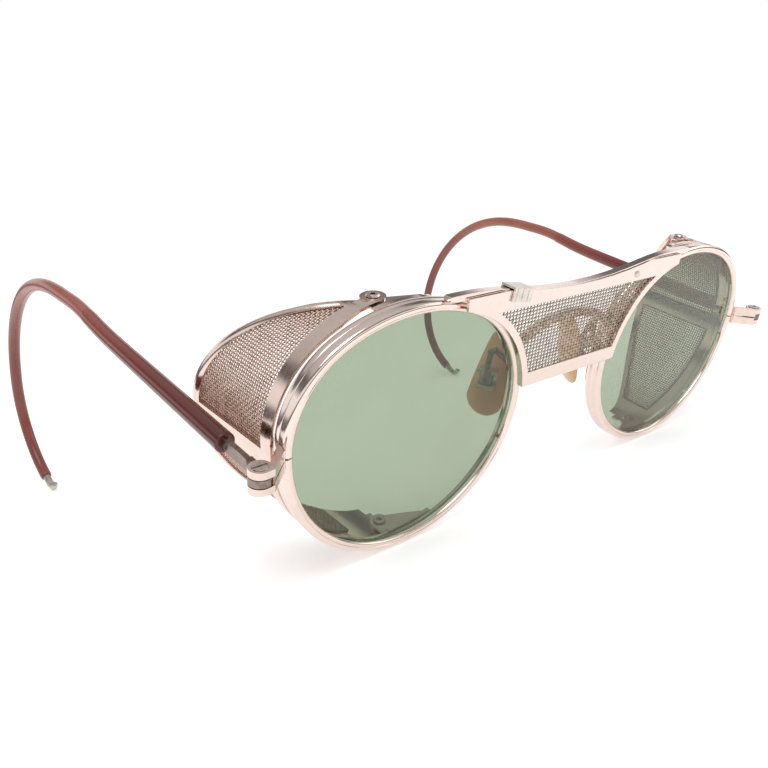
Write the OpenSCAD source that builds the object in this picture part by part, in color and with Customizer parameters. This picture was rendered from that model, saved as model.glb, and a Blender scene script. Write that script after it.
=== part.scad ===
// Wire-rimmed safety goggles with green glass lenses, woven-wire side shields
// and cable temples. Millimetres. +Z up, the wearer looks along -Y, and the
// wearer's left is +X. The part stands on its rims and its temple tips.

/* [Lenses] */
// Width of each lens opening inside its eyewire
eye_w = 46.5; // [42:0.5:52]
// Distance between the centres of the two lenses
eye_spacing = 73.6; // [70:0.2:84]
// Thickness of the flat glass
glass_t = 2.2; // [1.8:0.1:3]
// How far the glass edge reaches into the groove of the eyewire
glass_seat = 0.6; // [0.4:0.1:0.9]

/* [Eyewires] */
// Width of the eyewire seen from the front
rim_face = 1.7; // [1.4:0.1:2.2]
// Width of the closing slit at the end piece
slit_w = 0.3; // [0.2:0.05:0.5]

/* [Bridge] */
// Height of the bottom edge of the bridge guard
guard_z0 = 2.5; // [0:0.5:5]
// Height of the top edge of the brow bar at the middle
brow_z = 20.2; // [18:0.2:23]
// Sheet thickness of the bridge guard
guard_t = 0.6; // [0.4:0.05:0.8]
// Width of the guard's border round its wire cloth
guard_border = 1.4; // [1:0.1:2.2]
// Height of the brow bar
brow_h = 1.1; // [0.8:0.1:1.6]
// Depth of the brow bar, front to back
brow_d = 1.7; // [1.2:0.1:2.2]
// Thickness of the saddle bridge wire
saddle_d = 1.9; // [1.5:0.1:2.5]
// Radius of the saddle bridge's arch
saddle_r = 24; // [20:0.5:32]

/* [Wire cloth] */
// Spacing of the wires drawn in the shields and the guard
cloth_pitch = 2.2; // [2:0.1:4]
// Width of each wire drawn
cloth_wire = 0.5; // [0.4:0.05:1]
// Thickness of the wire cloth
cloth_t = 0.4; // [0.3:0.05:0.6]

/* [Side shields] */
// Radius of the shield's outline seen from the side
shield_r = 22.4; // [20:0.2:25]
// Thickness of the shield's sheet border
shield_t = 0.5; // [0.4:0.05:0.8]
// Width of the shield's rear border
shield_border = 1.9; // [1.4:0.1:3]
// Width of the band along the eyewire
shield_band = 3; // [2:0.2:5]
// Top edge of the crossbar
crossbar_z1 = 1.1; // [0:0.1:3]
// Bottom edge of the crossbar
crossbar_z0 = -3; // [-6:0.1:-1]
// How far the shield flares outward at the back, in degrees
shield_flare = 4; // [0:0.5:6]
// Distance of the shield's pivots behind the front of the glass
pivot_y = 6.3; // [5.9:0.1:8]
// Diameter of the shield's pivot rivets
pivot_d = 1.4; // [1:0.1:2]

/* [Hinges] */
// How far outside the lens centres the temple hinges lie
hinge_out = 30; // [28.5:0.1:33]
// Height of the middle of the hinges above the lens centre
hinge_z = 2.4; // [0:0.1:3]
// Diameter of the hinge barrel
barrel_d = 3.5; // [3.2:0.1:5]
// Height of the hinge barrel
barrel_h = 3.8; // [3.6:0.1:6]
// Diameter of the hinge screw
screw_d = 1.2; // [1:0.05:1.6]
// Thickness of the temple's tongue
tongue_t = 1.2; // [1:0.1:1.8]

/* [Temples] */
// Outward splay of the temples, in degrees
temple_splay = 2.7; // [0:0.1:6]
// Rise of the temples away from the lens axis, in degrees
temple_rise = 2.2; // [0:0.1:5]
// Length of the straight part of the temple
temple_l = 72.9; // [60:0.5:90]
// Radius of the first part of the ear curve
ear_r1 = 41.9; // [35:0.5:50]
// Turn of the first part of the ear curve, in degrees
ear_a1 = 87; // [70:1:100]
// Radius of the last part of the ear curve
ear_r2 = 20; // [15:0.5:28]
// Turn of the last part of the ear curve, in degrees
ear_a2 = 79; // [50:1:90]
// Diameter of the stiff plastic sleeve at the hinge
sleeve_d = 3.4; // [3:0.1:5]
// Diameter of the sleeve at its ear end
sleeve_d2 = 2.9; // [2.7:0.1:4]
// Where the sleeve starts behind the hinge
sleeve_y0 = 8.8; // [7:0.2:12]
// Where the sleeve ends and the thinner ear cable starts
sleeve_y1 = 60; // [45:1:62]
// Diameter of the covered ear cable
cable_d = 2.7; // [2.2:0.1:3.6]
// Diameter of the cable's steel core
core_d = 1.6; // [1.2:0.1:2]

/* [Nose pads] */
// Height of the nose pads
pad_h = 18.4; // [14:0.2:20]
// Width of the nose pads
pad_w = 10.4; // [7:0.2:12]
// Thickness of the nose pads at the middle
pad_t = 2.8; // [2.2:0.1:4]
// How far inside the lens centres the middles of the nose pads lie
pad_in = 25.1; // [23:0.1:27]
// Distance of the nose pads behind the front of the glass
pad_y = 8.2; // [7:0.1:10]
// Diameter of the pad arm's wire
arm_d = 1.1; // [0.9:0.05:1.4]

/* [Hidden] */
$fn = 64;
e = 0.01;
c = eye_spacing / 2;
k = eye_w / 46.5;
fit = 0.05;
// Lens outline: tangent arcs, given as radius and the angle each starts at.
// The last arc closes the outline exactly. 0 degrees is the temple side.
hinge_x = c + hinge_out;
pad_x = c - pad_in;
oa = [0, 56.3, 70.5, 112.3];
or = [16.2 * k, 21.3 * k, 31.6 * k, 19.45 * k];
function dirv(a) = [cos(a), sin(a)];
oc0 = [7.05, 2.62] * k;
oc1 = oc0 + (or[0] - or[1]) * dirv(oa[1]);
oc2 = oc1 + (or[1] - or[2]) * dirv(oa[2]);
oc3 = oc2 + (or[2] - or[3]) * dirv(oa[3]);
ov = oc0 + or[0] * dirv(oa[0]) - oc3;
r4 = (ov * ov - or[3] * or[3]) / (2 * (ov * dirv(oa[0]) - or[3]));
oc4 = oc0 + (or[0] - r4) * dirv(oa[0]);
ow = (oc3 - oc4) / (r4 - or[3]);
oa4 = 360 + atan2(ow[1], ow[0]);
arc_a = [oa[0], oa[1], oa[2], oa[3], oa4, 360];
arc_r = [or[0], or[1], or[2], or[3], r4];
arc_c = [oc0, oc1, oc2, oc3, oc4];
// Height of the outline's top and bottom, e outside the lens edge, at x from its centre
function top_z(x, e) = oc2[1] + sqrt(pow(or[2] + e, 2) - pow(x - oc2[0], 2));
function bot_z(x, e) = oc4[1] - sqrt(pow(r4 + e, 2) - pow(x - oc4[0], 2));

rim_r = rim_face / 2;
glass_y = -0.1;
groove0 = glass_y - fit;
groove1 = glass_y + glass_t + fit;
rim_front = -0.85;
rim_back = groove1 + 0.65;
guard_y0 = -2.1;
guard_y1 = guard_y0 + guard_t;
side_e = 0.5;

// Shield shell, outside the lens edge
sh_e0 = 1.3;
sh_e1 = sh_e0 + shield_t;
sh_em = (sh_e0 + sh_e1) / 2;
band_y1 = pivot_y - 2.1 + shield_band;
side_cy = pivot_y - 1.5;
side_cz = -1.2;
px_top = 5.2;
px_bot = 0.8;
pt = [c + px_top, top_z(px_top, sh_em)];
pb = [c + px_bot, bot_z(px_bot, sh_em)];
pm = (pt + pb) / 2;
p_half = norm(pt - pb) / 2;
p_tilt = atan2(pt[0] - pb[0], pt[1] - pb[1]);
tab_r = 2.1;
plate_t = 0.5;
plate_r = 1.7;
plate_gap = [0.6, 0, 0.4];
plate_y = rim_back + 0.02;
tab_z = p_half - shield_t / 2;
head_gap = 0.08;

// Hinge
hinge_y = -2.9;
gap_t = 0.15;
slot_h = tongue_t + 2 * gap_t;
fold_a = 36;
head_d = 2.4;
head_h = 0.6;
head_sink = 0.45;

// Temple curve, in the plane of the temple
t0 = [hinge_x - 1, hinge_y + 2.3, hinge_z - 0.6];
c1 = [temple_l, -ear_r1];
c2 = c1 + (ear_r1 - ear_r2) * dirv(90 - ear_a1);
end_a = 90 - ear_a1 - ear_a2;
end_p = c2 + ear_r2 * dirv(end_a);
end_l = 3;
tip_d = 1.5;
tip_r = 2.4;
tip_turn = 95;
// Tip hook: curls on from the end of the cable
tip_c = end_p + end_l * [sin(end_a), -cos(end_a)] + (-tip_r) * dirv(end_a);

// Resting place: the part stands on the rims' front beads and on the tips' curls
rim_c = bot_z(oc4[0], rim_face) + rim_r;
curl_r = tip_r + tip_d / 2;
rest_y = t0[1] + (tip_c[0] * cos(temple_rise) - tip_c[1] * sin(temple_rise)) * cos(temple_splay);
rest_z = t0[2] + tip_c[0] * sin(temple_rise) + tip_c[1] * cos(temple_rise) - rim_c;
rest_tilt = asin((curl_r - rim_r) / norm([rest_y, rest_z])) - atan2(rest_z, rest_y);
lift = rim_r - rim_c * cos(rest_tilt);
// Front to back middle: from the guard's clip to the backs of the ear curves
bow_r = 110;
bow_x = 17;
bow_a = asin(bow_x / bow_r);
bow_z = brow_z - brow_h + bow_r;
clip_x = c - 19.4;
clip_z = bow_z - sqrt(pow(bow_r - brow_h, 2) - pow(clip_x, 2));
front_y = (guard_y0 - 0.45) * cos(rest_tilt) - (clip_z + 0.79) * sin(rest_tilt);
ear_p = c2 + ear_r2 * dirv(-temple_rise - rest_tilt);
ear_y = t0[1] + (ear_p[0] * cos(temple_rise) - ear_p[1] * sin(temple_rise)) * cos(temple_splay);
ear_z = t0[2] + ear_p[0] * sin(temple_rise) + ear_p[1] * cos(temple_rise);
back_y = ear_y * cos(rest_tilt) - ear_z * sin(rest_tilt) + cable_d / 2;
shift_y = -(front_y + back_y) / 2;

steel = [0.78, 0.74, 0.7];
rose = [0.86, 0.72, 0.68];

module posed() translate([0, shift_y, lift]) rotate([rest_tilt, 0, 0]) children();
module left() posed() children();
module right() posed() mirror([1, 0, 0]) children();

// Sweep a section (offset from the lens edge, forward) along outline arc i
module arc_sweep(i, a0, a1) translate([c + arc_c[i][0], 0, arc_c[i][1]])
  rotate([90, 0, 0]) rotate([0, 0, a0]) rotate_extrude(angle = a1 - a0)
    translate([arc_r[i], 0]) children();

// The outline grown by g, in the plane of the lens. Where two arcs meet, the one of
// smaller radius laps under the other and stands a hair proud, so that they cross cleanly.
lap0 = [8, 0, 0, 8, 0];
lap1 = [8, 8, 0, 8, 0];
proud = [0.02, 0.01, 0, 0.01, 0];
module outline(g) {
  for (i = [0:4]) translate(arc_c[i]) intersection() {
    circle(r = arc_r[i] + g + proud[i], $fn = 160);
    let (a0 = arc_a[i] - lap0[i], a1 = arc_a[i + 1] + lap1[i])
      polygon([[0, 0], 90 * dirv(a0), 120 * dirv((a0 + a1) / 2), 90 * dirv(a1)]);
  }
  circle(r = 14 * k);
}
// Stands a drawing (across, up) in the lens plane, from y0 back to y1
module stand(y0, y1) translate([0, y1, 0]) rotate([90, 0, 0]) linear_extrude(y1 - y0) children();
module blank(g, y0, y1) stand(y0, y1) translate([c, 0]) outline(g);
module both_outlines(g) for (s = [0, 1]) mirror([s, 0]) translate([c, 0]) outline(g);

module slit() translate([c + 15, hinge_y - barrel_d, hinge_z - slit_w / 2]) cube([20, 10, slit_w]);
// The eyewire's section: points (out from the lens edge, back), front bead first
bead_r = rim_face / 2;
lip_in = 0.25;
rim_sec = concat(
  [for (a = [180:-30:120]) [bead_r + bead_r * cos(a), groove0 - (groove0 - rim_front) * sin(a)]],
  [for (a = [90:-30:0]) [bead_r + bead_r * cos(a), rim_front + bead_r - bead_r * sin(a)]],
  [for (a = [0:-30:-90]) [bead_r + bead_r * cos(a), rim_back - bead_r - bead_r * sin(a)]],
  [[lip_in + 0.2, rim_back], [lip_in, rim_back - 0.2], [lip_in, groove1],
    [glass_seat + fit, groove1], [glass_seat + fit, groove0]]);
// The slit lies where the outline passes the hinge's height
slit_a = asin((hinge_z - oc4[1]) / r4);
slit_h = slit_w / 2 / r4 * 57.3;
rim_steps = 108;
rim_a = [for (i = [0:rim_steps]) slit_a + slit_h + i * (360 - 2 * slit_h) / rim_steps];
function arc_of(a) = a < 0 ? 4 : a < arc_a[1] ? 0 : a < arc_a[2] ? 1 : a < arc_a[3] ? 2 : a < arc_a[4] ? 3 : 4;
function on_line(a, e) = arc_c[arc_of(a)] + (arc_r[arc_of(a)] + e) * dirv(a);
module rim() color(rose) {
  n = len(rim_sec);
  polyhedron(
    points = [for (a = rim_a, q = rim_sec) let (v = on_line(a, q[0])) [c + v[0], q[1], v[1]]],
    faces = concat(
      [for (i = [0:rim_steps - 1], j = [0:n - 1])
        [i * n + j, (i + 1) * n + j, (i + 1) * n + (j + 1) % n, i * n + (j + 1) % n]],
      [[for (j = [0:n - 1]) j], [for (j = [n - 1:-1:0]) rim_steps * n + j]]));
}
module lens() color([0.45, 0.62, 0.5, 0.6])
  blank(glass_seat, glass_y, glass_y + glass_t);

// Room for the temple's tongue, from open to folded
module barrel_slot() translate([hinge_x, hinge_y, hinge_z - slot_h / 2]) linear_extrude(slot_h) {
  circle(r = barrel_d / 2 + 0.4);
  edge = (barrel_d / 2 + 0.2) * [-cos(fold_a), -sin(fold_a)];
  polygon([edge, edge + 9 * [-sin(fold_a), cos(fold_a)], [6, 9], [6, 0]]);
}
module endpiece() color(steel) difference() {
  translate([0, 0, hinge_z - barrel_h / 2]) linear_extrude(barrel_h) union() {
    translate([hinge_x, hinge_y]) circle(d = barrel_d);
    polygon([[c + 22, -0.6], [c + 25.2, -1.2], [hinge_x - 1.5, hinge_y - barrel_d / 2 + 0.2],
      [hinge_x, hinge_y - barrel_d / 2], [hinge_x, hinge_y], [hinge_x - barrel_d / 2 + 0.02, hinge_y + 0.3],
      [c + 25.6, 0.3], [c + 24.8, 1.6], [c + 22, 1.9]]);
  }
  blank(rim_face, rim_front - 2, rim_back + 2);
  barrel_slot();
  slit();
  translate([hinge_x, hinge_y, -8]) cylinder(d = screw_d, h = 16);
  translate([hinge_x, hinge_y, hinge_z + barrel_h / 2 - head_sink]) cylinder(d = head_d + 0.1, h = 2);
}
module hinge_screw() color([0.6, 0.57, 0.52]) translate([hinge_x, hinge_y, hinge_z]) difference() {
  union() {
    translate([0, 0, -barrel_h / 2 - 0.2]) cylinder(d = screw_d, h = barrel_h + 0.2 - head_sink + e);
    translate([0, 0, barrel_h / 2 - head_sink]) cylinder(d = head_d, h = head_h);
  }
  translate([-3, -0.2, barrel_h / 2 + head_h - head_sink - 0.3]) cube([6, 0.4, 1]);
}

// Bridge
module arch(r, a, z) translate([0, 0, z - r]) rotate([90, 0, 0]) rotate([0, 0, 90 - a])
  rotate_extrude(angle = 2 * a) translate([r, 0]) children();
module saddle_bridge() color(rose) posed() difference() {
  translate([0, 0.9, 0]) arch(saddle_r, 42, 13.4) circle(d = saddle_d, $fn = 32);
  blank(rim_face, -3, 5);
  mirror([1, 0, 0]) blank(rim_face, -3, 5);
}
// Brow bar: a hollow middle arc and two crowned ends that land on the rims
crown_r = 84;
crown_c = [bow_x + crown_r * sin(bow_a), bow_z - (bow_r + crown_r) * cos(bow_a)];
module brow_bar() color(rose) posed() difference() {
  union() {
    translate([0, 0, bow_z]) rotate([90, 0, 0]) rotate([0, 0, 270 - bow_a])
      rotate_extrude(angle = 2 * bow_a)
        translate([bow_r - brow_h, -guard_y1 - brow_d]) square([brow_h, brow_d]);
    for (s = [0, 1]) mirror([s, 0, 0]) translate([crown_c[0], 0, crown_c[1]]) rotate([90, 0, 0])
      rotate([0, 0, 88]) rotate_extrude(angle = 2 + bow_a + 0.05)
        translate([crown_r, -guard_y1 - brow_d]) square([brow_h, brow_d]);
  }
  blank(rim_face, -3, 5);
  mirror([1, 0, 0]) blank(rim_face, -3, 5);
}
win_z0 = guard_z0 + 2.7;
win_z1 = brow_z - 2;
module guard_area(g, z0, z1) difference() {
  translate([-c + 7.4, z0]) square([2 * c - 14.8, z1 - z0]);
  both_outlines(g);
}
module guard_frame() color(rose) posed() {
  stand(guard_y0, guard_y1) difference() {
    guard_area(side_e, guard_z0, brow_z + 1.6);
    translate([0, bow_z]) circle(r = bow_r - brow_h + 0.05, $fn = 360);
    guard_area(side_e + guard_border, win_z0, win_z1);
  }
  stand(guard_y1 - e, rim_front) difference() {
    guard_area(side_e, guard_z0, 18.5);
    guard_area(side_e + 0.5, guard_z0 - 1, 19);
  }
}
module guard_mesh() color(steel) posed() {
  nx = floor((c - 10) / cloth_pitch);
  nz = floor((win_z1 - win_z0) / cloth_pitch);
  hole = cloth_pitch - cloth_wire;
  stand(guard_y1 + 0.02, guard_y1 + 0.02 + cloth_t) difference() {
    guard_area(side_e + guard_border - 0.6, win_z0 - 0.6, win_z1 + 0.6);
    intersection() {
      guard_area(side_e + guard_border, win_z0, win_z1);
      union() for (i = [-nx:nx], j = [0:nz])
        translate([i * cloth_pitch - hole / 2, win_z0 + j * cloth_pitch + 0.2]) square(hole);
    }
  }
}
module guard_clip() color(steel) posed() translate([-clip_x - 2.3, 0, clip_z]) rotate([0, 9, 0]) {
  translate([0, guard_y0 - 0.45, -1.7]) cube([4.6, 0.4, 2.5]);
  translate([0, guard_y0 - 0.45, 0.4]) cube([4.6, guard_t + brow_d + 0.9, 0.4]);
  translate([0, guard_y1 + brow_d + 0.05, -1.2]) cube([4.6, 0.4, 2]);
  for (i = [0:2]) translate([0.9 + i * 1.4, guard_y0 - 0.45, -1.5]) cylinder(d = 0.5, h = 2.2, $fn = 24);
}
module guard_rivet() color(steel) posed() translate([15.2, guard_y0, 19.6]) rotate([90, 0, 0])
  cylinder(d1 = 1.4, d2 = 1, h = 0.35);

// Shield pivots: local Z runs along the axis through the two rivets
module on_pivot() translate([pm[0], pivot_y, pm[1]]) rotate([0, p_tilt, 0]) children();
module bracket_foot(i, a0, a1) arc_sweep(i, a0, a1)
  translate([0.2, -rim_back - 0.8]) square([rim_face - 0.4, 0.8]);
// The bracket's plate, inside the shield's tab and behind the eyewire
module plate(s) on_pivot() translate([0, 0, s * (tab_z - plate_gap[s + 1] - plate_t / 2) - plate_t / 2])
  linear_extrude(plate_t) union() {
    circle(r = plate_r);
    polygon([[plate_r - 0.1, plate_y - pivot_y], [plate_r - 0.05, 0], [-plate_r + 0.1, 0.6],
      [-plate_r - 5.8, -2.4], [-plate_r - 6.3, plate_y - pivot_y]]);
  }
module bore(d) on_pivot() cylinder(d = d, h = 80, center = true);
module bracket(s, i, a0, a1) color(rose) difference() {
  union() {
    plate(s);
    bracket_foot(i, a0, a1);
  }
  bore(pivot_d);
}
// Tubular rivets: a flange inside the plate, a rolled head outside the tab
module pivot_rivets() color(steel) on_pivot() for (s = [-1, 1]) mirror([0, 0, s < 0 ? 1 : 0]) {
  z0 = tab_z - plate_gap[s + 1] - plate_t - 0.35;
  z1 = tab_z + shield_t + head_gap;
  difference() {
    union() {
      translate([0, 0, z0]) cylinder(d = pivot_d + 0.9, h = 0.35);
      translate([0, 0, z0 + 0.1]) cylinder(d = pivot_d, h = z1 - z0);
      translate([0, 0, z1]) cylinder(d1 = pivot_d + 1, d2 = pivot_d + 0.5, h = 0.35);
    }
    translate([0, 0, z0 - 1]) cylinder(d = pivot_d - 0.6, h = 6);
  }
}

// Shield: a shell behind the temple half of the rim, cut to a round side outline
module flared() translate([pm[0], pivot_y, 0]) rotate([0, 0, -shield_flare])
  translate([-pm[0], -pivot_y, 0]) children();
module shell(e0, e1, y0, y1) stand(y0, y1) translate([c, 0]) difference() {
  outline(e1);
  outline(e0);
}
// The round edge as seen from the side, g in front of its place
module side_disc(g) translate([c, side_cy - g, side_cz]) rotate([0, 90, 0])
  cylinder(r = shield_r, h = 60, $fn = 128);
module window(up, g) intersection() {
  side_disc(shield_border - g);
  translate([c + 8 - g, band_y1 - g, up ? crossbar_z1 - g : -60])
    cube([60, 60, up ? 60 : crossbar_z0 + 60 + g]);
}
module shield_frame() color(steel) difference() {
  union() {
    flared() difference() {
      intersection() {
        shell(sh_e0, sh_e1, 1, side_cy + shield_r + 1);
        union() {
          side_disc(0);
          translate([c - 5, 0, -40]) cube([60, band_y1, 80]);
        }
        union() {
          translate([pt[0], -10, 0]) cube([80, 80, 60]);
          translate([pb[0], -10, -60]) cube([80, 80, 60]);
        }
      }
      window(true, 0);
      window(false, 0);
    }
    on_pivot() for (s = [-1, 1]) translate([0, 0, s * p_half - shield_t / 2]) cylinder(r = tab_r, h = shield_t);
  }
  translate([0, 0, -60]) linear_extrude(120) polygon([[c - 20, -20], [c - 20, pivot_y - tab_r - 0.1],
    [c + 9, pivot_y - tab_r - 0.1], [c + 13, rim_back + 0.4], [c + 60, rim_back + 0.4], [c + 60, -20]]);
  bore(pivot_d + 0.1);
}
module shield_mesh(up) color([0.72, 0.66, 0.58]) flared() {
  y1 = side_cy + shield_r;
  ny = floor((y1 - band_y1) / cloth_pitch);
  da = cloth_pitch / 23 * 57.3;
  wa = cloth_wire / 23 * 57.3;
  difference() {
    intersection() {
      shell(sh_e0 - cloth_t - 0.02, sh_e0 - 0.02, band_y1 - 0.8, y1);
      window(up, 0.7);
    }
    intersection() {
      window(up, 0);
      for (a = up ? [2.5:da:80] : [-9:-da:-100])
        translate([c, 0, 0]) rotate([90, 0, 0]) rotate([0, 0, up ? a : a - da + wa])
          rotate_extrude(angle = da - wa)
          for (j = [0:ny]) translate([16, -band_y1 - (j + 1) * cloth_pitch + cloth_wire])
            square([20, cloth_pitch - cloth_wire]);
    }
  }
}
module shield_catch() color(steel) flared() translate([c + arc_c[0][0], pivot_y - 1.3, hinge_z + 0.2])
  translate([arc_r[0] + sh_e0 + 0.01, 0, 0]) rotate([-90, 0, 0]) difference() {
    cylinder(r = 1.1, h = 1.2);
    translate([0, 0, -1]) cylinder(r = 0.6, h = 3);
    translate([-0.03, -3, -1]) cube([3.03, 6, 4]);
  }

// Temples
module on_temple() translate(t0) rotate([0, 0, -temple_splay]) rotate([temple_rise, 0, 0]) children();
module bend(p, r, a0, a1) translate([0, p[0], p[1]]) rotate([90, 0, 90]) rotate([0, 0, a0])
  rotate_extrude(angle = a1 - a0) translate([r, 0]) children();
module temple_shank() color([0.33, 0.33, 0.34]) difference() {
  union() {
    translate([hinge_x, hinge_y, hinge_z - tongue_t / 2]) linear_extrude(tongue_t) {
      circle(d = barrel_d);
      polygon([[-1.4, 0.3], [-1.45, 4.8], [-0.45, 4.8], [1.5, 0.5]]);
    }
    on_temple() {
      translate([-0.4, 1.4, -1]) cube([0.9, sleeve_y0 - 1.4 + 0.26, 2]);
      translate([0.05, sleeve_y0 - 1, 0]) rotate([-90, 0, 0])
        cylinder(d = core_d, h = sleeve_y1 - sleeve_y0 + 1, $fn = 32);
    }
  }
  translate([hinge_x, hinge_y, -8]) cylinder(d = screw_d + 0.1, h = 16);
}
module temple_sleeve() color([0.45, 0.22, 0.2]) on_temple() translate([0.05, sleeve_y0, 0]) rotate([-90, 0, 0])
  difference() {
    union() {
      cylinder(d1 = sleeve_d, d2 = sleeve_d2, h = sleeve_y1 - sleeve_y0 - 0.5);
      translate([0, 0, sleeve_y1 - sleeve_y0 - 0.5 - e]) cylinder(d1 = sleeve_d2, d2 = cable_d + 0.05, h = 0.5);
    }
    translate([0, 0, -1]) cylinder(d = core_d + 0.02, h = 90);
    translate([0, 0, -e]) cylinder(d = 2.5, h = 0.3);
  }
// The ear cable: a round section carried along the straight end and both curves
cable_path = concat(
  [[[sleeve_y1, 0], 90]],
  [for (i = [0:24]) let (a = 90 - ear_a1 * i / 24) [c1 + ear_r1 * dirv(a), a]],
  [for (i = [1:22]) let (a = 90 - ear_a1 - ear_a2 * i / 22) [c2 + ear_r2 * dirv(a), a]]);
module ear_cable() color([0.5, 0.27, 0.25]) on_temple() translate([0.05, 0, 0]) {
  n = 16;
  m = len(cable_path);
  polyhedron(
    points = [for (q = cable_path, j = [0:n - 1]) let (
      v = q[0] + cable_d / 2 * cos(j * 360 / n) * dirv(q[1])) [cable_d / 2 * sin(j * 360 / n), v[0], v[1]]],
    faces = concat(
      [for (i = [0:m - 2], j = [0:n - 1])
        [i * n + j, (i + 1) * n + j, (i + 1) * n + (j + 1) % n, i * n + (j + 1) % n]],
      [[for (j = [0:n - 1]) j], [for (j = [n - 1:-1:0]) (m - 1) * n + j]]));
}
module cable_tip() color([0.6, 0.57, 0.52]) on_temple() translate([0.05, 0, 0]) {
  translate([0, end_p[0], end_p[1]]) rotate([180 + end_a, 0, 0])
    cylinder(d = tip_d + 0.3, h = end_l);
  bend(tip_c, tip_r, end_a - tip_turn, end_a + 5) circle(d = tip_d, $fn = 32);
}

// Nose pads: local X points away from the nose
pad_turn = -30;
pad_lean = 8;
pad_z = 0.9;
module on_pad() translate([pad_x, pad_y, pad_z]) rotate([0, 0, pad_turn]) rotate([0, -pad_lean, 0]) children();
pin_d = 0.8;
eye_d = 1.9;
eye_x = pad_t / 2 + 1.5;
module nose_pad() color([0.95, 0.62, 0.42, 0.8]) on_pad() intersection() {
  rotate([0, 90, 0]) linear_extrude(pad_t * 2, center = true) union() {
    for (s = [-1, 1]) translate([s * (pad_h - pad_w) / 2, 0]) circle(d = pad_w);
    square([pad_h - pad_w, pad_w], center = true);
  }
  translate([30 - pad_t / 2, 0, 0]) sphere(r = 30, $fn = 280);
  translate([-30 + pad_t / 2, 0, 0]) sphere(r = 30, $fn = 280);
}
module pad_box() color(steel) on_pad() difference() {
  translate([pad_t / 2 - 0.3, -1.7, -1.9]) cube([2.9, 3.4, 3.8]);
  translate([pad_t / 2 + 0.4, -3, -1.1]) cube([4, 6, 2.2]);
  translate([-30 + pad_t / 2, 0, 0]) sphere(r = 30, $fn = 280);
  translate([eye_x, 0, -5]) cylinder(d = pin_d, h = 10, $fn = 32);
}
module pad_pin() color(steel) on_pad() translate([eye_x, 0, -2.1]) cylinder(d = pin_d, h = 4.2, $fn = 32);
module seg(a, b, d) {
  v = b - a;
  l = norm(v);
  translate(a) rotate([0, acos(v[2] / l), atan2(v[1], v[0])]) cylinder(d = d, h = l, $fn = 32);
}
module arm_line(p) {
  for (i = [0:len(p) - 2]) seg(p[i], p[i + 1], arm_d);
  for (i = [1:len(p) - 2]) translate(p[i]) sphere(d = arm_d + 0.14, $fn = 32);
}
function rz(v, a) = [v[0] * cos(a) - v[1] * sin(a), v[0] * sin(a) + v[1] * cos(a), v[2]];
function ry(v, a) = [v[0] * cos(a) + v[2] * sin(a), v[1], -v[0] * sin(a) + v[2] * cos(a)];
function padp(v) = [pad_x, pad_y, pad_z] + rz(ry(v, -pad_lean), pad_turn);
module pad_arm() color(steel) {
  difference() {
    union() {
      arm_line([[c - 23.6 * k - rim_face - 0.1, 1.2, 4.6], [c - 23.4 * k - rim_face, 4.6, 5.2],
        [c - 21.8 * k - 0.4, 5.2, 7.6], [c - 20.6 * k - 0.6, 5.4, 7.4],
        [c - 20.2 * k - 0.6, 5.4, 4.6], padp([eye_x + 2, 0, 0.1]), padp([eye_x + 0.9, 0, 0])]);
      on_pad() translate([eye_x, 0, -0.9]) cylinder(d = eye_d, h = 1.8, $fn = 32);
    }
    blank(rim_face, -4, rim_back);
    on_pad() translate([eye_x, 0, -3]) cylinder(d = pin_d + 0.1, h = 6, $fn = 32);
  }
}

left() rim();  // rim_left
right() rim();  // rim_right
left() lens();  // lens_left
right() lens();  // lens_right
left() endpiece();  // endpiece_left
right() endpiece();  // endpiece_right
left() hinge_screw();  // hinge_screw_left
right() hinge_screw();  // hinge_screw_right
saddle_bridge();
brow_bar();
guard_frame();
guard_mesh();
guard_clip();
guard_rivet();
left() bracket(1, 2, 78, 98);  // bracket_top_left
right() bracket(1, 2, 78, 98);  // bracket_top_right
left() bracket(-1, 4, 252, 275);  // bracket_bottom_left
right() bracket(-1, 4, 252, 275);  // bracket_bottom_right
left() pivot_rivets();  // pivot_rivets_left
right() pivot_rivets();  // pivot_rivets_right
left() shield_frame();  // shield_frame_left
right() shield_frame();  // shield_frame_right
left() shield_mesh(true);  // shield_mesh_upper_left
right() shield_mesh(true);  // shield_mesh_upper_right
left() shield_mesh(false);  // shield_mesh_lower_left
right() shield_mesh(false);  // shield_mesh_lower_right
left() shield_catch();  // shield_catch_left
right() shield_catch();  // shield_catch_right
left() temple_shank();  // temple_shank_left
right() temple_shank();  // temple_shank_right
left() temple_sleeve();  // temple_sleeve_left
right() temple_sleeve();  // temple_sleeve_right
left() ear_cable();  // ear_cable_left
right() ear_cable();  // ear_cable_right
left() cable_tip();  // cable_tip_left
right() cable_tip();  // cable_tip_right
left() pad_arm();  // pad_arm_left
right() pad_arm();  // pad_arm_right
left() nose_pad();  // nose_pad_left
right() nose_pad();  // nose_pad_right
left() pad_box();  // pad_box_left
right() pad_box();  // pad_box_right
left() pad_pin();  // pad_pin_left
right() pad_pin();  // pad_pin_right
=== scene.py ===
import math
import bpy
import bmesh
from mathutils import Vector, Matrix


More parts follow.
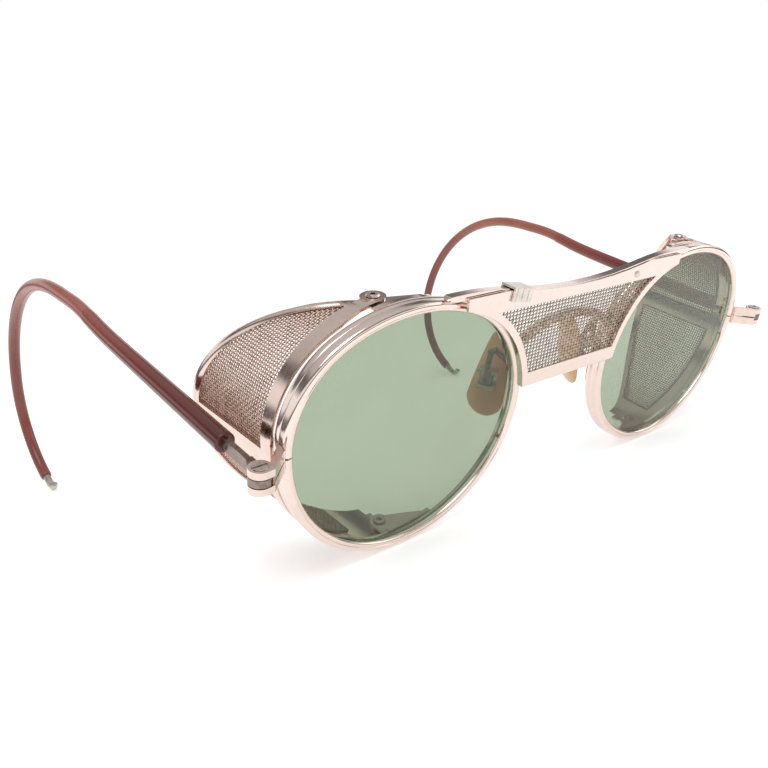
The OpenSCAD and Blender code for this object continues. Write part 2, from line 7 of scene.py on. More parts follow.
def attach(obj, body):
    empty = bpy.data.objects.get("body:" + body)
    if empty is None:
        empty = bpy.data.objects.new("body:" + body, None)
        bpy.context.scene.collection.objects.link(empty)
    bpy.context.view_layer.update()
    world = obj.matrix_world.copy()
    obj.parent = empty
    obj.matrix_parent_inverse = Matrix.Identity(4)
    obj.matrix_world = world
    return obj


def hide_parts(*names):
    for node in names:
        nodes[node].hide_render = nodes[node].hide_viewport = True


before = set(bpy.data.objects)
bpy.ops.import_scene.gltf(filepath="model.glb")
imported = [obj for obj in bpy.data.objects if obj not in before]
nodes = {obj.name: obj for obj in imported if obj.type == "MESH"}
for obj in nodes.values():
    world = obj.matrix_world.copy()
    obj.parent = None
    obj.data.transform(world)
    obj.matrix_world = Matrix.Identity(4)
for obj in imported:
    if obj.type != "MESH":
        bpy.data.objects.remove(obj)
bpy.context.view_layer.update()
scene = bpy.context.scene
MM = 0.001
sin, cos, rad = math.sin, math.cos, math.radians
SIDES = (("left", 1), ("right", -1))

# The part's own sizes in mm and degrees, as in the source.
# x runs outward from the middle, y rearward and z up, with the lens plane upright.
EYE_C = 36.8
# The lens edge's first four arcs: the first one's centre, and where each starts and its radius
FIRST_CENTRE = (7.05, 2.62)
OUTLINE_A = [0, 56.3, 70.5, 112.3]
OUTLINE_R = [16.2, 21.3, 31.6, 19.45]
# The eyewire, from the lens edge outward, and its closing slit
RIM_W = 1.7
BEAD = RIM_W / 2
RIM_FRONT, RIM_BACK = -0.85, 2.8
GROOVE0, GROOVE1 = -0.15, 2.15
SLIT_W, SLIT_Z = 0.3, 2.4
# The bridge guard's sheet and window
GUARD_GAP, GUARD_BORDER, GUARD_Y1 = 0.5, 1.4, -1.5
WINDOW_Z0, WINDOW_Z1 = 5.2, 18.2
# The side shield: pivot, round rear edge, sheet, front band and crossbar
PIVOT_X, PIVOT_Y, FLARE = 39.8, 6.3, 4
SHIELD_R, SHIELD_CY, SHIELD_CZ = 22.4, 4.8, -1.2
SHIELD_IN, SHIELD_OUT, BORDER = 1.3, 1.8, 1.9
BAND_FRONT, BAND_W = 2.1, 3
BAND_Y1 = PIVOT_Y - BAND_FRONT + BAND_W
BAR_Z0, BAR_Z1 = -3, 1.1

# How the goggles rest on the ground
TILT, SHIFT_Y, LIFT = 18.9362, -56.7447, 21.6365
CT, ST = cos(rad(TILT)), sin(rad(TILT))


def row(p, s=1):
    """From the goggles' own sizes in mm to the shared frame in metres; s is -1 on the wearer's right."""
    x, y, z = p
    return Vector((s * x, y * CT - z * ST + SHIFT_Y, y * ST + z * CT + LIFT)) * MM


def along(p, length, a):
    """The point at a length from p, in the direction of a degrees."""
    return (p[0] + length * cos(rad(a)), p[1] + length * sin(rad(a)))


def outline_arcs():
    """Centres, radii and start angles of the five arcs of the lens edge. The fifth closes it."""
    c, r = [FIRST_CENTRE], OUTLINE_R
    for i in range(3):
        c.append(along(c[i], r[i] - r[i + 1], OUTLINE_A[i + 1]))
    outer = c[0][0] + r[0]
    vx, vy = outer - c[3][0], c[0][1] - c[3][1]
    r4 = (vx * vx + vy * vy - r[3] ** 2) / (2 * (vx - r[3]))
    c.append((outer - r4, c[0][1]))
    a4 = 360 + math.degrees(math.atan2(c[3][1] - c[4][1], c[3][0] - c[4][0]))
    return c, r + [r4], OUTLINE_A + [a4, 360]


ARC_C, ARC_R, ARC_A = outline_arcs()


def on_line(a, e):
    """Point (across, up) at e outside the lens edge, where the edge faces a degrees."""
    a = a % 360
    i = max(n for n in range(5) if a >= ARC_A[n])
    return along(ARC_C[i], ARC_R[i] + e, a)


def on_shield(p):
    """A point of the straight shield, turned outward by the flare about an upright line at its pivots."""
    f = rad(-FLARE)
    x, y = p[0] - PIVOT_X, p[1] - PIVOT_Y
    return (PIVOT_X + x * cos(f) - y * sin(f), PIVOT_Y + x * sin(f) + y * cos(f), p[2])


# Materials
def new_mat(name):
    m = bpy.data.materials.new(name)
    m.use_nodes = True
    nt = m.node_tree
    return m, nt, nt.nodes["Principled BSDF"]


def coords(nt):
    return nt.nodes.new("ShaderNodeTexCoord").outputs["Object"]


def noise(nt, vec, scale, detail, rough=0.5):
    n = nt.nodes.new("ShaderNodeTexNoise")
    n.inputs["Scale"].default_value = scale
    n.inputs["Detail"].default_value = detail
    n.inputs["Roughness"].default_value = rough
    nt.links.new(vec, n.inputs["Vector"])
    return n.outputs["Fac"]


def ramp(nt, fac, stops):
    """A colour for each value of fac, from stops of (position, colour)."""
    r = nt.nodes.new("ShaderNodeValToRGB")
    elements = r.color_ramp.elements
    while len(elements) < len(stops):
        elements.new(0.5)
    for element, (position, colour) in zip(elements, stops):
        element.position = position
        element.color = (*colour, 1)
    nt.links.new(fac, r.inputs["Fac"])
    return r.outputs["Color"]


def bump(nt, fac, strength, depth):
    b = nt.nodes.new("ShaderNodeBump")
    b.inputs["Strength"].default_value = strength
    b.inputs["Distance"].default_value = depth
    nt.links.new(fac, b.inputs["Height"])
    return b.outputs["Normal"]


def grey(v):
    return (v, v, v)


def feed(nt, shader, links):
    """Drives inputs of a shader by what other nodes give."""
    for name, value in links.items():
        nt.links.new(value, shader.inputs[name])


def put(shader, values):
    """Sets inputs of a shader to plain values."""
    for name, value in values.items():
        shader.inputs[name].default_value = value


METAL_GRAIN, SCRATCH, SCRATCH_DEPTH = 1400, 0.12, 0.00001


def metal(name, light, dark, r0, r1):
    """Plated metal: faint patches of tarnish, uneven polish from r0 to r1 and fine scratches."""
    m, nt, b = new_mat(name)
    v = coords(nt)
    tarnish = noise(nt, v, scale=700, detail=6, rough=0.7)
    polish = noise(nt, v, METAL_GRAIN, detail=4, rough=0.6)
    scratches = noise(nt, v, METAL_GRAIN * 3, detail=2)
    feed(nt, b, {
        "Base Color": ramp(nt, tarnish, [(0.3, dark), (0.56, light)]),
        "Roughness": ramp(nt, polish, [(0.3, grey(r0)), (0.75, grey(r1))]),
        "Normal": bump(nt, scratches, SCRATCH, SCRATCH_DEPTH)})
    put(b, {"Metallic": 1.0})
    return m


rose = metal("rose_nickel", (0.88, 0.73, 0.665), (0.84, 0.69, 0.625), 0.07, 0.17)
sheet = metal("shield_sheet", (0.83, 0.67, 0.6), (0.75, 0.59, 0.52), 0.09, 0.22)
nickel = metal("worn_nickel", (0.76, 0.7, 0.65), (0.6, 0.53, 0.48), 0.14, 0.3)
wire = metal("woven_wire", (0.6, 0.52, 0.43), (0.32, 0.25, 0.18), 0.25, 0.42)
side_wire = metal("side_wire", (0.72, 0.5, 0.41), (0.44, 0.27, 0.21), 0.25, 0.42)
steel = metal("dark_steel", (0.33, 0.26, 0.22), (0.15, 0.115, 0.1), 0.24, 0.42)
screw = metal("screw_steel", (0.74, 0.64, 0.58), (0.46, 0.38, 0.33), 0.18, 0.36)
tipwire = metal("tip_wire", (0.62, 0.56, 0.48), (0.32, 0.25, 0.19), 0.24, 0.42)


def glass():
    m, nt, b = new_mat("green_glass")
    v = coords(nt)
    haze = noise(nt, v, scale=60, detail=4, rough=0.6)
    smears = noise(nt, v, scale=400, detail=5, rough=0.65)
    feed(nt, b, {
        "Base Color": ramp(nt, haze, [(0.3, (0.315, 0.378, 0.275)), (0.7, (0.34, 0.405, 0.295))]),
        "Roughness": ramp(nt, smears, [(0.5, grey(0.0)), (0.85, grey(0.05))])})
    put(b, {"Transmission Weight": 1.0, "IOR": 1.45})
    return m


lens_glass = glass()

PLASTIC_DEPTH = 0.00003


def plastic(name, light, dark, rough, coat=0.3, grain=500, relief=0.2):
    """Glossy plastic: soft patches of colour, uneven polish and a faint grain under a thin coat."""
    m, nt, b = new_mat(name)
    v = coords(nt)
    patches = noise(nt, v, scale=110, detail=5, rough=0.6)
    polish = noise(nt, v, grain, detail=4, rough=0.6)
    fine = noise(nt, v, grain * 1.6, detail=3)
    feed(nt, b, {
        "Base Color": ramp(nt, patches, [(0.32, dark), (0.68, light)]),
        "Roughness": ramp(nt, polish, [(0.3, grey(rough)), (0.8, grey(rough + 0.14))]),
        "Normal": bump(nt, fine, relief, PLASTIC_DEPTH)})
    put(b, {"Coat Weight": coat, "Coat Roughness": 0.12})
    return m, nt, b


# From the hinge's end to the ear's end of a temple at rest, in metres of the shared frame's y
TEMPLE_SPAN = (-0.05, 0.066)


def along_temple(made, stops):
    """Colour that changes from hinge to ear, multiplied by the plastic's own patches."""
    m, nt, b = made
    place = nt.nodes.new("ShaderNodeSeparateXYZ")
    nt.links.new(coords(nt), place.inputs[0])
    span = nt.nodes.new("ShaderNodeMapRange")
    put(span, {"From Min": TEMPLE_SPAN[0], "From Max": TEMPLE_SPAN[1]})
    feed(nt, span, {"Value": place.outputs["Y"]})
    mix = nt.nodes.new("ShaderNodeMix")
    mix.data_type = "RGBA"
    mix.blend_type = "MULTIPLY"
    put(mix, {"Factor": 1.0})
    feed(nt, mix, {
        "A": ramp(nt, span.outputs["Result"], stops),
        "B": b.inputs["Base Color"].links[0].from_socket})
    feed(nt, b, {"Base Color": mix.outputs["Result"]})
    return m


FAINT, FULL = (0.86, 0.82, 0.8), (1, 1, 1)
sleeve_mat = along_temple(plastic("sleeve_plastic", FULL, FAINT, 0.16), [
    (0.0, (0.1, 0.018, 0.015)), (0.22, (0.18, 0.03, 0.024)), (0.42, (0.31, 0.07, 0.046))])
cable_mat = along_temple(plastic("cable_cover", FULL, FAINT, 0.24, coat=0.25), [
    (0.4, (0.36, 0.1, 0.066)), (0.68, (0.4, 0.13, 0.09)), (0.95, (0.24, 0.052, 0.036))])


def pad_plastic():
    """Flesh-coloured plastic that lets a little light through."""
    light, dark = (1.0, 0.6, 0.31), (0.94, 0.5, 0.23)
    m, _, b = plastic("pad_plastic", light, dark, 0.16, coat=0.5, grain=300, relief=0.1)
    put(b, {
        "Subsurface Weight": 0.6,
        "Subsurface Radius": (0.004, 0.0018, 0.0008),
        "Subsurface Scale": 1.0,
        "Transmission Weight": 0.25})
    return m


pad_mat = pad_plastic()


# Making pieces
def add_object(name, data):
    o = bpy.data.objects.new(name, data)
    scene.collection.objects.link(o)
    return o


def shade_smooth(me, sharp):
    """Smooth shading, broken at edges sharper than so many degrees."""
    me.polygons.foreach_set("use_smooth", [True] * len(me.polygons))
    me.set_sharp_from_angle(angle=rad(sharp))


def finish_mesh(name, verts, faces, mat, body, replaces=(), sharp=60):
    me = bpy.data.meshes.new(name)
    me.from_pydata(verts, [], faces)
    bm = bmesh.new()
    bm.from_mesh(me)
    bmesh.ops.recalc_face_normals(bm, faces=bm.faces)
    bm.to_mesh(me)
    bm.free()
    shade_smooth(me, sharp)
    o = add_object(name, me)
    me.materials.append(mat)
    if replaces:
        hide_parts(*replaces)
    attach(o, body)


SAME_PLACE = 1e-6
FLAT_ENOUGH, CAD_SHARP, EDGE_ANGLE = 1.2, 32, 28


def merge_faces(me):
    """Turns the CAD's triangles back into the flat faces that they came from."""
    bm = bmesh.new()
    bm.from_mesh(me)
    bmesh.ops.remove_doubles(bm, verts=bm.verts, dist=SAME_PLACE)
    bmesh.ops.dissolve_degenerate(bm, dist=SAME_PLACE, edges=bm.edges)
    bmesh.ops.dissolve_limit(bm, angle_limit=rad(FLAT_ENOUGH), verts=bm.verts, edges=bm.edges)
    bm.to_mesh(me)
    bm.free()


def ease_edges(o, width, segments):
    """Rounds the edges by a bevel of so many mm."""
    b = o.modifiers.new("ease", "BEVEL")
    b.width = width * MM
    b.segments = segments
    b.limit_method = "ANGLE"
    b.angle_limit = rad(EDGE_ANGLE)
    b.harden_normals = True
    b.use_clamp_overlap = True
    w = o.modifiers.new("shade", "WEIGHTED_NORMAL")
    w.keep_sharp = True


def dress(node, mat, body, width, segments=2):
    """A finer copy of a CAD node: merged faces, eased edges and smooth shading."""
    me = nodes[node].data.copy()
    o = add_object("fine_" + node, me)
    merge_faces(me)
    if me.attributes.get("custom_normal"):
        me.attributes.remove(me.attributes["custom_normal"])
    shade_smooth(me, CAD_SHARP)
    me.materials.clear()
    me.materials.append(mat)
    if width:
        ease_edges(o, width, segments)
    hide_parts(node)
    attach(o, body)


def closed_rings(count, n):
    """Faces of a solid made of rings of n points each, with a flat face at either end."""
    faces = []
    for i in range(0, (count - 1) * n, n):
        for j in range(n):
            j2 = (j + 1) % n
            faces.append((i + j, i + n + j, i + n + j2, i + j2))
    faces.append(tuple(range(n)))
    faces.append(tuple((count - 1) * n + j for j in range(n))[::-1])
    return faces


def tube(points, radius, sides):
    """A round tube through points without twist; radius gives metres for a point's index."""
    verts = []
    n = len(points)
    t0 = (points[1] - points[0]).normalized()
    ref = Vector((0, 0, 1)) if abs(t0.z) < 0.9 else Vector((1, 0, 0))
    u = t0.cross(ref).normalized()
    for i, p in enumerate(points):
        t = (points[min(i + 1, n - 1)] - points[max(i - 1, 0)]).normalized()
        u = (u - t * u.dot(t)).normalized()
        w = t.cross(u)
        for k in range(sides):
            a = 2 * math.pi * k / sides
            verts.append(p + (u * cos(a) + w * sin(a)) * radius(i))
    return verts, closed_rings(n, sides)


def join(parts):
    verts, faces = [], []
    for v, f in parts:
        start = len(verts)
        verts += v
        faces += [tuple(i + start for i in q) for q in f]
    return verts, faces


# Eyewires and lenses
FRONT_LINE, SIDE_LINE, LINE_W = 0.68, 1.06, 0.06
LIP_E, GROOVE_E = 0.25, 0.65
RIM_STEPS = 420


def rim_section():
    """The eyewire's section as (outward from the lens edge, rearward), with a fine line in two faces."""
    q = []
    for a in range(180, 90, -15):
        q.append((BEAD + BEAD * cos(rad(a)), GROOVE0 - (GROOVE0 - RIM_FRONT) * sin(rad(a)) ** 0.8))
    q.append((FRONT_LINE - LINE_W, RIM_FRONT + 0.03))
    q.append((FRONT_LINE, RIM_FRONT + 0.08))
    q.append((FRONT_LINE + LINE_W, RIM_FRONT + 0.01))
    for a in range(80, -1, -10):
        q.append((BEAD + BEAD * cos(rad(a)), RIM_FRONT + BEAD - BEAD * sin(rad(a))))
    q += [(RIM_W, SIDE_LINE - 0.16), (RIM_W, SIDE_LINE - LINE_W)]
    q += [(RIM_W - LINE_W, SIDE_LINE), (RIM_W, SIDE_LINE + LINE_W)]
    for a in range(0, -91, -15):
        q.append((BEAD + BEAD * cos(rad(a)), RIM_BACK - BEAD - BEAD * sin(rad(a))))
    q += [(0.45, RIM_BACK), (0.3, RIM_BACK - 0.06), (LIP_E, RIM_BACK - 0.2), (LIP_E, GROOVE1)]
    q += [(GROOVE_E, GROOVE1), (GROOVE_E, GROOVE0)]
    return q


def make_rim(side, s):
    """The eyewire, run round the lens from one face of the closing slit to the other."""
    section = rim_section()
    slit_a = math.degrees(math.asin((SLIT_Z - ARC_C[4][1]) / ARC_R[4]))
    half = math.degrees(SLIT_W / 2 / ARC_R[4])
    verts = []
    for i in range(RIM_STEPS + 1):
        a = slit_a + half + i * (360 - 2 * half) / RIM_STEPS
        for e, y in section:
            x, z = on_line(a, e)
            verts.append(row((EYE_C + x, y, z), s))
    faces = closed_rings(RIM_STEPS + 1, len(section))
    finish_mesh("eyewire_" + side, verts, faces, rose, "front", ["rim_" + side], sharp=48)


for side, s in SIDES:
    make_rim(side, s)
    lens = nodes["lens_" + side]
    lens.data.materials.clear()
    lens.data.materials.append(lens_glass)

# Wire cloth
WIRE_R = 0.13
BEHIND = 0.24
TUCK, SHIELD_TUCK = 0.4, 0.5
POINTS_PER_STEP = 4


def run(point, t0, t1, step, phase, rise, sides):
    """One wire: point(t, lift) from t0 to t1, over one crossing wire and under the next."""
    n = max(3, int(round((t1 - t0) / step * POINTS_PER_STEP)))
    pts = []
    for i in range(n + 1):
        t = t0 + (t1 - t0) * i / n
        pts.append(point(t, rise * cos(math.pi * (t / step) + phase)))
    return tube(pts, lambda i: WIRE_R * MM, sides)


def weave_phase(i, first, pitch):
    """Phase of the i-th wire across rows that start at first, so that it meets them in turn."""
    return math.pi * (i + 1) - math.pi * first / pitch


# Bridge guard: upright flat cloth behind the sheet, between the two eyewires
GUARD_PX, GUARD_PZ = 0.84, 0.66
GUARD_RISE, GUARD_SIDES = 0.13, 5
UPRIGHTS = 31
CLOTH_HALF = EYE_C - 7
HEIGHT_STEP, HEIGHTS, SHORTEST = 0.1, 139, 8


def guard_edge(z):
    """How far out from the middle the guard's window reaches at height z."""
    best = None
    for a in range(100, 261):
        x, up = on_line(a, GUARD_GAP + GUARD_BORDER)
        if best is None or abs(up - z) < best[0]:
            best = (abs(up - z), EYE_C + x)
    return best[1]


def make_guard_cloth():
    y0 = GUARD_Y1 + BEHIND
    first = WINDOW_Z0 - TUCK
    parts = []
    for j in range(int((WINDOW_Z1 - WINDOW_Z0 + 2 * TUCK) / GUARD_PZ) + 1):
        z = first + j * GUARD_PZ
        w = min(guard_edge(z) + TUCK, CLOTH_HALF)
        across = lambda t, lift, z=z: row((t, y0 + lift, z))
        parts.append(run(across, -w, w, GUARD_PX, math.pi * j, GUARD_RISE, GUARD_SIDES))
    heights = [first + HEIGHT_STEP * q for q in range(HEIGHTS)]
    reach = [(z, guard_edge(z) + TUCK) for z in heights if z <= WINDOW_Z1 + TUCK]
    for i in range(-UPRIGHTS, UPRIGHTS + 1):
        x = i * GUARD_PX
        zs = [z for z, w in reach if w > abs(x)]
        if len(zs) < SHORTEST:
            continue
        upright = lambda t, lift, x=x: row((x, y0 + lift, t))
        phase = weave_phase(i, first, GUARD_PZ)
        parts.append(run(upright, min(zs), max(zs), GUARD_PZ, phase, GUARD_RISE, GUARD_SIDES))
    v, f = join(parts)
    finish_mesh("guard_cloth", v, f, wire, "front", ["guard_mesh"], sharp=180)


make_guard_cloth()

# Side shields: cloth behind the curved sheet, above and below the crossbar
CLOTH_E = SHIELD_IN - BEHIND
CLOTH_A0, CLOTH_A1, CLOTH_X0 = -90, 88, 7.6
CLOTH_DEPTH = 24
SHIELD_PITCH, SHIELD_RISE, SHIELD_SIDES = 0.56, 0.12, 4
LENGTH_STEP, REAR_STEP, FEWEST = 0.25, 0.2, 7
FAR = 99


def length_table(e, a0, a1, step=0.5):
    """Pairs of angle and length run along the outline, from a0 to a1."""
    table, length = [(a0, 0.0)], 0.0
    a = a0
    p = on_line(a0, e)
    while a < a1 - 1e-6:
        a = min(a + step, a1)
        q = on_line(a, e)
        length += math.hypot(q[0] - p[0], q[1] - p[1])
        table.append((a, length))
        p = q
    return table


CLOTH_TABLE = length_table(CLOTH_E, CLOTH_A0, CLOTH_A1)


def angle_at(length):
    """The outline's angle at a length along the shield's cloth."""
    for (a, u), (b, w) in zip(CLOTH_TABLE, CLOTH_TABLE[1:]):
        if u <= length <= w:
            return a + (b - a) * (length - u) / (w - u)
    return CLOTH_TABLE[-1][0] if length > 0 else CLOTH_TABLE[0][0]


def rear_y(z, inset):
    """Where the shield's round rear edge lies at height z, inset mm in front of it."""
    q = SHIELD_R ** 2 - (z - SHIELD_CZ) ** 2
    return SHIELD_CY - inset + math.sqrt(q) if q > 0 else -FAR


def shield_cloth(side, s, kind):
    """The upper or lower window's cloth."""
    low_z = BAR_Z1 - SHIELD_TUCK if kind == "upper" else -FAR
    high_z = FAR if kind == "upper" else BAR_Z0 + SHIELD_TUCK
    front = BAND_Y1 - SHIELD_TUCK
    first = BAND_Y1 - TUCK
    total = CLOTH_TABLE[-1][1]

    def place(length, y, lift):
        x, z = on_line(angle_at(length), CLOTH_E + lift)
        return row(on_shield((EYE_C + x, y, z)), s)

    def in_window(length, y):
        x, z = on_line(angle_at(length), CLOTH_E)
        if not (low_z <= z <= high_z and x > CLOTH_X0):
            return False
        return front <= y <= rear_y(z, BORDER) + SHIELD_TUCK

    lengths = [LENGTH_STEP * q for q in range(int(total / LENGTH_STEP))]
    depths = [front + REAR_STEP * q for q in range(int(CLOTH_DEPTH / REAR_STEP))]
    parts = []
    for j in range(int(CLOTH_DEPTH / SHIELD_PITCH)):
        y = first + j * SHIELD_PITCH
        ts = [t for t in lengths if in_window(t, y)]
        if len(ts) >= FEWEST:
            across = lambda t, lift, y=y: place(t, y, lift)
            parts.append(run(across, ts[0], ts[-1], SHIELD_PITCH, math.pi * j, SHIELD_RISE, SHIELD_SIDES))
    for i in range(int(total / SHIELD_PITCH)):
        t0 = i * SHIELD_PITCH
        ys = [y for y in depths if in_window(t0, y)]
        if len(ys) >= FEWEST:
            rearward = lambda t, lift, t0=t0: place(t0, t, lift)
            phase = weave_phase(i, first, SHIELD_PITCH)
            parts.append(run(rearward, ys[0], ys[-1], SHIELD_PITCH, phase, SHIELD_RISE, SHIELD_SIDES))
    v, f = join(parts)
    finish_mesh("shield_cloth_%s_%s" % (kind, side), v, f, side_wire, "shield_" + side,
                ["shield_mesh_%s_%s" % (kind, side)], sharp=180)


for side, s in SIDES:
    shield_cloth(side, s, "upper")
    shield_cloth(side, s, "lower")

DOME_H, DOME_SUNK, DOME_FOOT, DOME_STEPS = 0.3, 0.02, -0.2, 8
DOME_CLEAR = 0.4


def rear_border(side, s):
    """The shield's rolled rear border, a low dome on the outside of the sheet."""
    section = []
    for k in range(DOME_STEPS + 1):
        w = k / DOME_STEPS
        section.append((w, DOME_H * sin(math.pi * w) - DOME_SUNK))
    section += [(0.97, DOME_FOOT), (0.03, DOME_FOOT)]
    verts = []
    for k in range(2 * CLOTH_A0, 2 * CLOTH_A1 + 1):
        z = on_line(k / 2, SHIELD_OUT)[1]
        if rear_y(z, BORDER) < BAND_Y1 + DOME_CLEAR:
            continue
        for w, lift in section:
            x, up = on_line(k / 2, SHIELD_OUT + lift)
            verts.append(row(on_shield((EYE_C + x, rear_y(z, BORDER * w), up)), s))
    faces = closed_rings(len(verts) // len(section), len(section))
    finish_mesh("rear_border_" + side, verts, faces, sheet, "shield_" + side)


# The other metal pieces, from the source's own solids
for side, s in SIDES:
    shield, temple, pad = "shield_" + side, "temple_" + side, "pad_" + side
    dress("shield_frame_" + side, sheet, shield, 0.2, segments=3)
    rear_border(side, s)
    dress("shield_catch_" + side, nickel, shield, 0.05)
    dress("bracket_top_" + side, rose, "front", 0.1)
    dress("bracket_bottom_" + side, rose, "front", 0.1)
    dress("pivot_rivets_" + side, screw, "front", 0.05)
    dress("endpiece_" + side, sheet, "front", 0.28, segments=4)
    dress("hinge_screw_" + side, screw, "front", 0.06)
    dress("temple_shank_" + side, steel, temple, 0.12)
    dress("cable_tip_" + side, tipwire, temple, 0.08)
    dress("pad_arm_" + side, steel, "front", 0)
    dress("pad_box_" + side, nickel, pad, 0.08)
    dress("pad_pin_" + side, screw, pad, 0.05)
dress("saddle_bridge", rose, "front", 0)
dress("brow_bar", rose, "front", 0.12)
dress("guard_frame", rose, "front", 0.1)
dress("guard_clip", nickel, "front", 0.06)
dress("guard_rivet", screw, "front", 0.05)

# Temples: a straight line from START, then two arcs round the ear
START, OFF_LINE = (65.8, -0.6, 1.8), 0.05
SPLAY, RISE = 2.7, 2.2
EAR_C1, EAR_R1, EAR_A1 = (72.9, -41.9), 41.9, 87
EAR_R2, EAR_A2 = 20, 79
EAR_C2 = along(EAR_C1, EAR_R1 - EAR_R2, 90 - EAR_A1)
SLEEVE_Y0, SLEEVE_Y1, JOINT_Y = 8.8, 60, 59.6
SLEEVE_R, TAPER = 1.7, 0.0049
CABLE_R, CABLE_END_R = 1.35, 1.24
HUMP_H, HUMP_Y, HUMP_W = 0.95, 64, 9


def temple_pt(y, z):
    """From (rearward, up) on the temple's own plane to the goggles' sizes."""
    r = rad(RISE)
    y2, z2 = y * cos(r) - z * sin(r), y * sin(r) + z * cos(r)
    a = -rad(SPLAY)
    x = OFF_LINE
    return (START[0] + x * cos(a) - y2 * sin(a), START[1] + x * sin(a) + y2 * cos(a), START[2] + z2)


def hump(y):
    """How far the covering stands above its straight line near the ear, as photographed."""
    return HUMP_H * math.exp(-((y - HUMP_Y) / HUMP_W) ** 2)


def make_sleeve(side, s):
    """The stiff covering, with rounded ends and a slight taper rearward."""
    stations = [(SLEEVE_Y0, 1.3), (SLEEVE_Y0, 1.6), (8.9, 1.68), (9.1, SLEEVE_R)]
    stations += [(9.6 + i, SLEEVE_R - TAPER * i) for i in range(50)]
    stations += [(59.2, 1.44), (59.6, 1.41), (SLEEVE_Y1, 1.36)]
    pts = [row(temple_pt(y, hump(y)), s) for y, r in stations]
    axis = (row(temple_pt(SLEEVE_Y1, 0), s) - row(temple_pt(8, 0), s)).normalized()
    # The first two stations share a place, and a tube needs them apart
    pts[1] = pts[1] + axis * 1e-5
    v, f = tube(pts, lambda i: stations[i][1] * MM, 32)
    finish_mesh("sleeve_" + side, v, f, sleeve_mat, "temple_" + side,
                ["temple_sleeve_" + side], sharp=50)


def make_cable(side, s):
    """The thinner covered cable, straight and then in two arcs."""
    path = [(JOINT_Y + (EAR_C1[0] - JOINT_Y) * i / 10, 0.0) for i in range(10)]
    path += [along(EAR_C1, EAR_R1, 90 - EAR_A1 * i / 90) for i in range(90)]
    path += [along(EAR_C2, EAR_R2, 90 - EAR_A1 - EAR_A2 * i / 60) for i in range(61)]
    # Only the straight part and the start of the first arc follow the hump
    lifted = [(y, z + hump(y) if z > -5 else z) for y, z in path]
    pts = [row(temple_pt(y, z), s) for y, z in lifted]
    last = len(pts) - 1
    v, f = tube(pts, lambda i: (CABLE_R if i < last else CABLE_END_R) * MM, 24)
    finish_mesh("ear_cover_" + side, v, f, cable_mat, "temple_" + side,
                ["ear_cable_" + side], sharp=50)


for side, s in SIDES:
    make_sleeve(side, s)
    make_cable(side, s)

# Nose pads: centre, height, width below and above, thickness, and how they turn, lean and tip
PAD = (11.3, 7.3, 1.6)
PAD_H, PAD_W, PAD_W2, PAD_T = 17.5, 7.9, 7.15, 2.6
PAD_TURN, PAD_LEAN, PAD_TIP = -21, 14.5, 10
PAD_ROUND, PAD_RINGS = 72, 16
FACE = PAD_T / 2 * 0.97
# How roundly the edge draws in and goes deeper, and how far the faces fall off across and upward
DRAW_IN, GO_DEEP = 0.62, 1.1
FALL_ACROSS, FALL_UP = 0.35, 0.25


def pad_pt(v):
    """From the pad's own axes (through it, rearward, up) to the goggles' sizes."""
    t, a, b = rad(PAD_TURN), rad(-PAD_LEAN), rad(PAD_TIP)
    x, y, z = v
    y, z = y * cos(b) - z * sin(b), y * sin(b) + z * cos(b)
    x, z = x * cos(a) + z * sin(a), -x * sin(a) + z * cos(a)
    return (PAD[0] + x * cos(t) - y * sin(t), PAD[1] + x * sin(t) + y * cos(t), PAD[2] + z)


def pad_outline():
    """The pad's oval as (rearward, up), wider below than above, with round ends."""
    pts = []
    for k in range(PAD_ROUND):
        a = 2 * math.pi * k / PAD_ROUND
        w = (PAD_W + PAD_W2) / 4 - (PAD_W - PAD_W2) / 4 * sin(a)
        h = math.copysign(PAD_H / 2 - w, sin(a))
        pts.append((w * cos(a), w * sin(a) + h * min(1, abs(sin(a)) * 3) ** 0.8))
    return pts


def make_pad(side, s):
    """Rings from the middle of one face over the round edge to the middle of the other."""
    verts, rings = [], []
    for q in range(-PAD_RINGS, PAD_RINGS + 1):
        ph = math.pi / 2 * q / PAD_RINGS
        size, depth = cos(ph) ** DRAW_IN, math.copysign(abs(sin(ph)) ** GO_DEEP, ph)
        outline = [(0, 0)] if abs(q) == PAD_RINGS else pad_outline()
        ring = []
        for y, z in outline:
            y, z = y * size, z * size
            dome = 1 - (y / (PAD_W / 2)) ** 2 * FALL_ACROSS - (z / (PAD_H / 2)) ** 2 * FALL_UP
            ring.append(len(verts))
            verts.append(row(pad_pt((depth * FACE * dome, y, z)), s))
        rings.append(ring)
    faces = []
    for a, b in zip(rings, rings[1:]):
        for k in range(PAD_ROUND):
            k2 = (k + 1) % PAD_ROUND
            if len(a) == 1:
                faces.append((a[0], b[k], b[k2]))
            elif len(b) == 1:
                faces.append((a[k], a[k2], b[0]))
            else:
                faces.append((a[k], a[k2], b[k2], b[k]))
    finish_mesh("soft_pad_" + side, verts, faces, pad_mat, "pad_" + side, ["nose_pad_" + side])


for side, s in SIDES:
    make_pad(side, s)

# The camera, solved from the photo: place in the goggles' sizes, angles in degrees, focal length in pixels
CAMERA = (-110.319, -78.840, 60.603)
YAW, PITCH, ROLL = -40.2154, 26.1801, 4.7288
FOCAL, PHOTO_W, SENSOR_W = 754.02, 768, 36


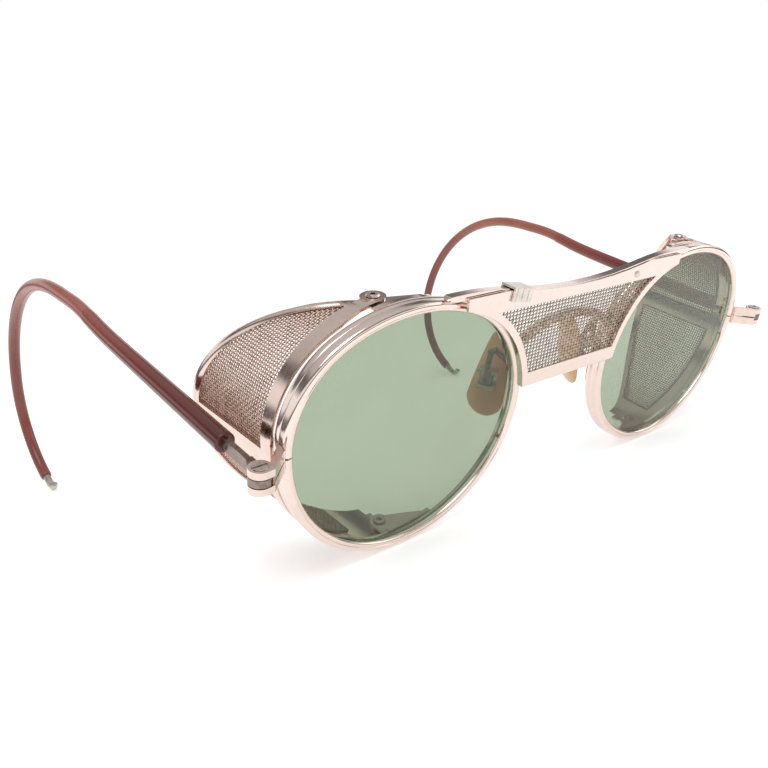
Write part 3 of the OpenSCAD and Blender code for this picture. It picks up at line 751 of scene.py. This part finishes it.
def make_camera():
    yaw, pitch, roll = rad(YAW), rad(PITCH), rad(ROLL)
    back = Vector((sin(yaw) * cos(pitch), -cos(yaw) * cos(pitch), sin(pitch)))
    right = (-back).cross(Vector((0, 0, 1))).normalized()
    up = right.cross(-back)
    rolled_right = right * cos(roll) + up * sin(roll)
    rolled_up = -right * sin(roll) + up * cos(roll)
    tilt = Matrix.Rotation(rad(TILT), 3, "X")
    turn = Matrix([tilt @ rolled_right, tilt @ rolled_up, tilt @ back]).transposed()
    cam = bpy.data.cameras.new("camera")
    o = add_object("camera", cam)
    o.matrix_world = Matrix.Translation(row(CAMERA)) @ turn.to_4x4()
    cam.sensor_width = SENSOR_W
    cam.lens = FOCAL / PHOTO_W * SENSOR_W
    cam.clip_start = 0.005
    scene.camera = o


# Floor, world and lamps
def ray(nt, kind):
    return nt.nodes.new("ShaderNodeLightPath").outputs["Is %s Ray" % kind]


def seen_white(nt):
    """1 for the rays that show the white surroundings, to the camera and through glass."""
    either = nt.nodes.new("ShaderNodeMath")
    either.operation = "MAXIMUM"
    nt.links.new(ray(nt, "Camera"), either.inputs[0])
    nt.links.new(ray(nt, "Transmission"), either.inputs[1])
    return either.outputs[0]


def mix_value(nt, factor, a, b):
    """From a to b by factor; each is a number or another node's output."""
    mix = nt.nodes.new("ShaderNodeMix")
    mix.data_type = "FLOAT"
    nt.links.new(factor, mix.inputs["Factor"])
    for name, v in (("A", a), ("B", b)):
        if isinstance(v, (int, float)):
            mix.inputs[name].default_value = v
        else:
            nt.links.new(v, mix.inputs[name])
    return mix.outputs["Result"]


FLOOR_HALF, FLOOR_Z = 3.0, -0.0002
FLOOR_GLOW, PART_REFLECTED = 0.34, 0.8
EVEN_LIGHT = 0.75
LAMP_AIM = (0, 0, 0.02)


def make_floor():
    """A white floor whose own glow keeps it as bright as the background, with a faint shadow."""
    me = bpy.data.meshes.new("floor")
    w, z = FLOOR_HALF, FLOOR_Z
    me.from_pydata([(-w, -w, z), (w, -w, z), (w, w, z), (-w, w, z)], [], [(0, 1, 2, 3)])
    o = add_object("floor", me)
    m, nt, b = new_mat("floor")
    put(b, {
        "Base Color": (0.95, 0.95, 0.95, 1),
        "Roughness": 0.9,
        "Specular IOR Level": 0.0,
        "Emission Color": (1, 1, 1, 1)})
    reflected = mix_value(nt, ray(nt, "Glossy"), 0.0, FLOOR_GLOW * PART_REFLECTED)
    feed(nt, b, {"Emission Strength": mix_value(nt, seen_white(nt), reflected, FLOOR_GLOW)})
    me.materials.append(m)


def make_world():
    """White to the camera and through glass, even light, and grey bands that only metal reflects."""
    world = bpy.data.worlds.new("studio")
    scene.world = world
    world.use_nodes = True
    nt = world.node_tree
    bg = nt.nodes["Background"]
    sep = nt.nodes.new("ShaderNodeSeparateXYZ")
    tc = nt.nodes.new("ShaderNodeTexCoord")
    nt.links.new(tc.outputs["Generated"], sep.inputs[0])
    bands = ramp(nt, sep.outputs["Z"], [
        (0.0, grey(0.1)), (0.12, grey(0.2)), (0.2, grey(0.95)), (0.42, grey(1.0)),
        (0.52, grey(0.16)), (0.64, grey(0.14)), (0.72, grey(0.5)), (0.9, grey(0.6))])
    lit = mix_value(nt, ray(nt, "Glossy"), EVEN_LIGHT, bands)
    feed(nt, bg, {"Strength": mix_value(nt, seen_white(nt), lit, 1.0)})
    put(bg, {"Color": (1, 1, 1, 1)})


def area(name, loc, size, power):
    """A lamp of so many watts, in metres, that points at the goggles."""
    lamp = bpy.data.lights.new(name, "AREA")
    lamp.shape = "RECTANGLE"
    lamp.size, lamp.size_y = size
    lamp.energy = power
    o = add_object(name, lamp)
    o.location = loc
    o.rotation_euler = (Vector(LAMP_AIM) - Vector(loc)).to_track_quat("-Z", "Y").to_euler()


make_camera()
make_floor()
make_world()
area("key", (-0.25, -0.35, 0.7), (0.5, 0.4), 1.5)
area("fill", (0.55, -0.3, 0.4), (0.4, 0.4), 0.5)
scene.view_settings.view_transform = "Standard"
